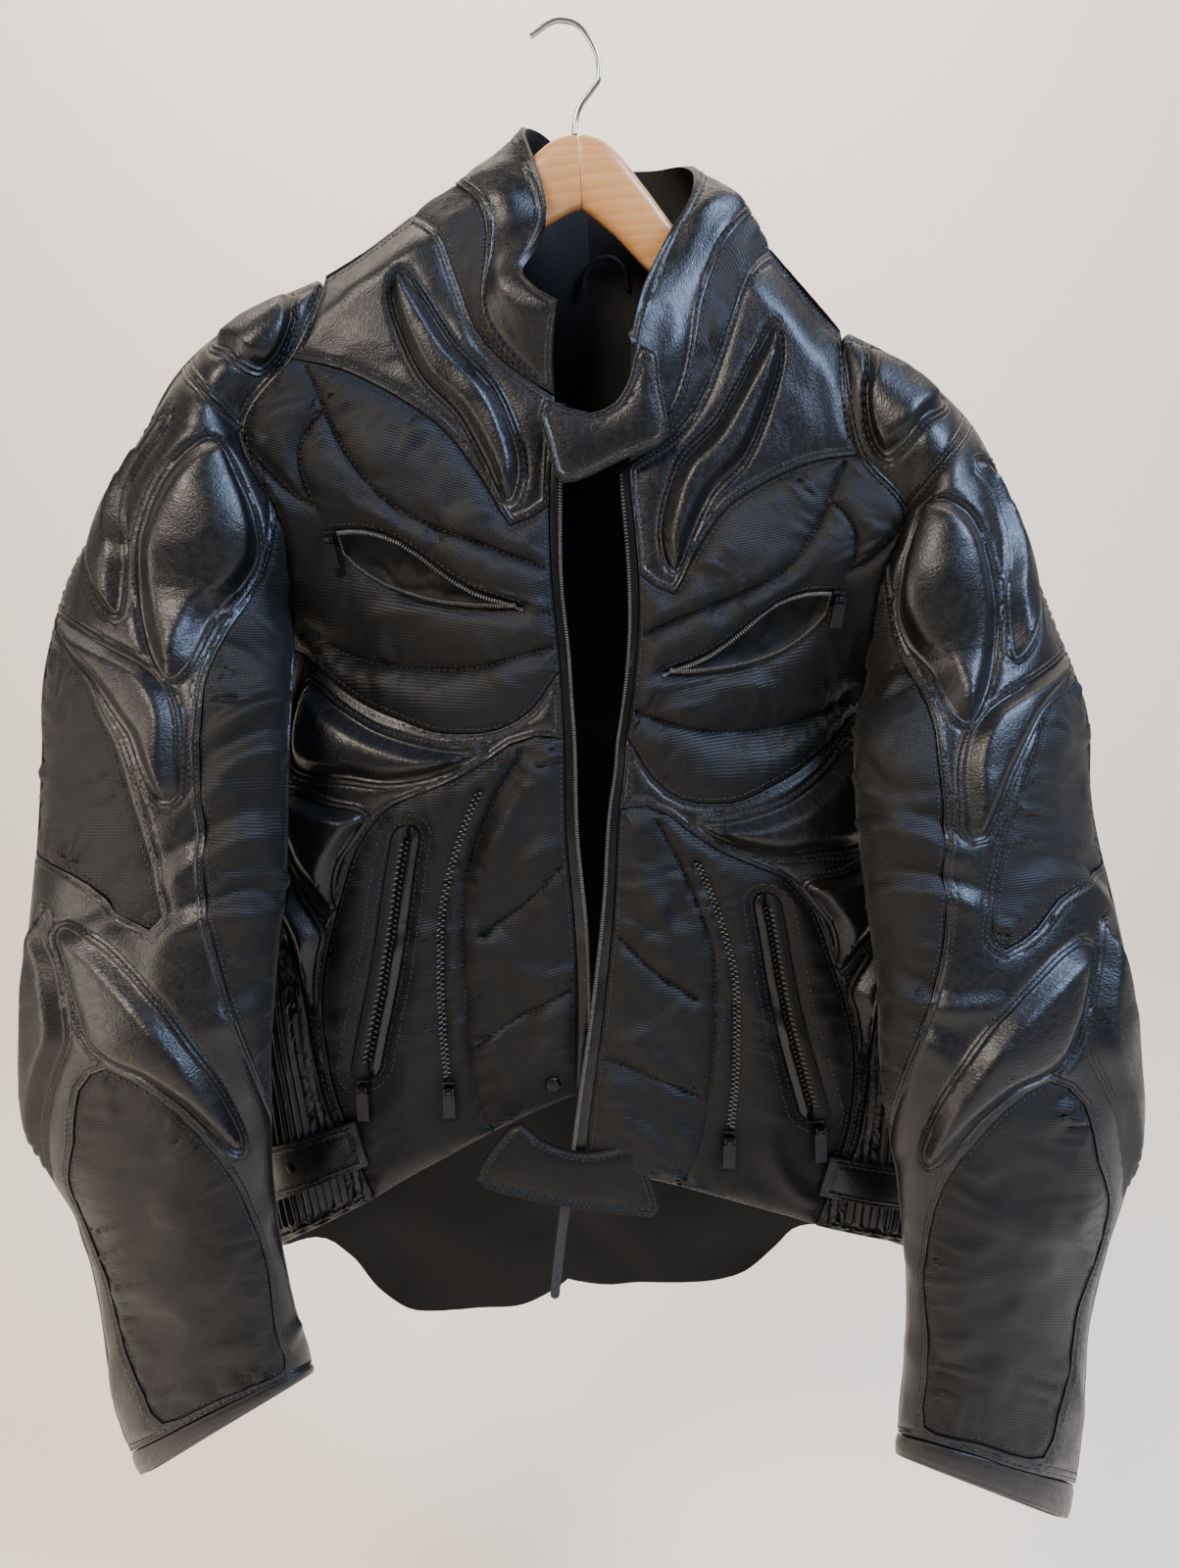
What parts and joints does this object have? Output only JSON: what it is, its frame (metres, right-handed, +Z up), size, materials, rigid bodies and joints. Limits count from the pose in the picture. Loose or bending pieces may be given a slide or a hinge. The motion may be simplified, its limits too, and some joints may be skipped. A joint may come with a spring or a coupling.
{
  "type": "leather motorcycle jacket on a wooden hanger",
  "caption": "Open leather and textile motorcycle jacket with padded sleeve pods, ribbed waist and drop tail, hanging on a wooden hanger by its steel hook.",
  "frame": {"origin": "inner top of the bend in the hanger's hook, where a rail holds it", "axes": "+X to the viewer's right across the jacket, +Y from its front to its back, +Z up"},
  "size_m": [0.649, 0.1741, 0.9033],
  "materials": {
    "leather": "satin black, fine grain",
    "textile": "matt black ribbed weave",
    "tape": "woven zip tape",
    "lining": "matt pocket lining",
    "maple": "clear lacquer",
    "steel": "bright plated",
    "dark_metal": "dark gunmetal"
  },
  "bodies": {
    "jacket": {"back": "textile", "hanger_hook": "steel", "hanger_wood": "maple", "hanging_loop": "textile", "hem_snap": "dark_metal", "left_arm": "leather", "left_band": "leather", "left_belt": "leather", "left_belt_snap": "dark_metal", "left_cap": "leather", "left_chest": "textile", "left_chest_pocket": "lining", "left_chest_zip_slider": "dark_metal", "left_collar": "leather", "left_collar_band": "textile", "left_cuff": "leather", "left_forearm_insert": "textile", "left_inner_strip": "textile", "left_lower": "textile", "left_outer_insert": "textile", "left_pocket_slider": "dark_metal", "left_pocket_welt": "textile", "left_ribs": "leather", "left_side_zip_slider": "dark_metal", "left_sleeve_back": "leather", "left_yoke": "leather", "left_zip_strip": "tape", "neck_tab": "leather", "patch": "leather", "right_arm": "leather", "right_band": "leather", "right_belt": "leather", "right_cap": "leather", "right_chest": "textile", "right_chest_pocket": "lining", "right_chest_zip_slider": "dark_metal", "right_collar": "leather", "right_collar_band": "textile", "right_cuff": "leather", "right_forearm_insert": "textile", "right_inner_strip": "textile", "right_lower": "textile", "right_outer_insert": "textile", "right_pocket_slider": "dark_metal", "right_pocket_welt": "textile", "right_ribs": "leather", "right_side_zip_slider": "dark_metal", "right_sleeve_back": "leather", "right_yoke": "leather", "right_zip_strip": "tape", "strap": "leather"},
    "left_chest_zip_pull": {"left_chest_zip_pull": "dark_metal"},
    "left_pocket_pull": {"left_pocket_pull": "dark_metal"},
    "left_side_zip_pull": {"left_side_zip_pull": "dark_metal"},
    "right_chest_zip_pull": {"right_chest_zip_pull": "dark_metal"},
    "right_pocket_pull": {"right_pocket_pull": "dark_metal"},
    "right_side_zip_pull": {"right_side_zip_pull": "dark_metal"}
  },
  "joints": [
    {"name": "left_chest_zip_pull_hinge", "type": "hinge", "parent": "jacket", "child": "left_chest_zip_pull", "pos_m": [-0.14759, -0.03933, -0.27576], "axis": [-0.9773, 0.2044, -0.056], "range_deg": [0, 150]},
    {"name": "left_pocket_pull_hinge", "type": "hinge", "parent": "jacket", "child": "left_pocket_pull", "pos_m": [-0.15435, -0.04274, -0.59881], "axis": [-0.9906, 0.1313, 0.0373], "range_deg": [0, 150]},
    {"name": "left_side_zip_pull_hinge", "type": "hinge", "parent": "jacket", "child": "left_side_zip_pull", "pos_m": [-0.10227, -0.04652, -0.60102], "axis": [-0.999, 0.0288, 0.0351], "range_deg": [0, 150]},
    {"name": "right_chest_zip_pull_hinge", "type": "hinge", "parent": "jacket", "child": "right_chest_zip_pull", "pos_m": [0.13813, -0.03929, -0.3239], "axis": [-0.9668, -0.2232, 0.1244], "range_deg": [0, 150]},
    {"name": "right_pocket_pull_hinge", "type": "hinge", "parent": "jacket", "child": "right_pocket_pull", "pos_m": [0.11742, -0.05374, -0.63441], "axis": [-0.9843, -0.1752, 0.0219], "range_deg": [0, 150]},
    {"name": "right_side_zip_pull_hinge", "type": "hinge", "parent": "jacket", "child": "right_side_zip_pull", "pos_m": [0.0627, -0.05962, -0.63529], "axis": [-0.9954, -0.0529, 0.0793], "range_deg": [0, 150]}
  ]
}
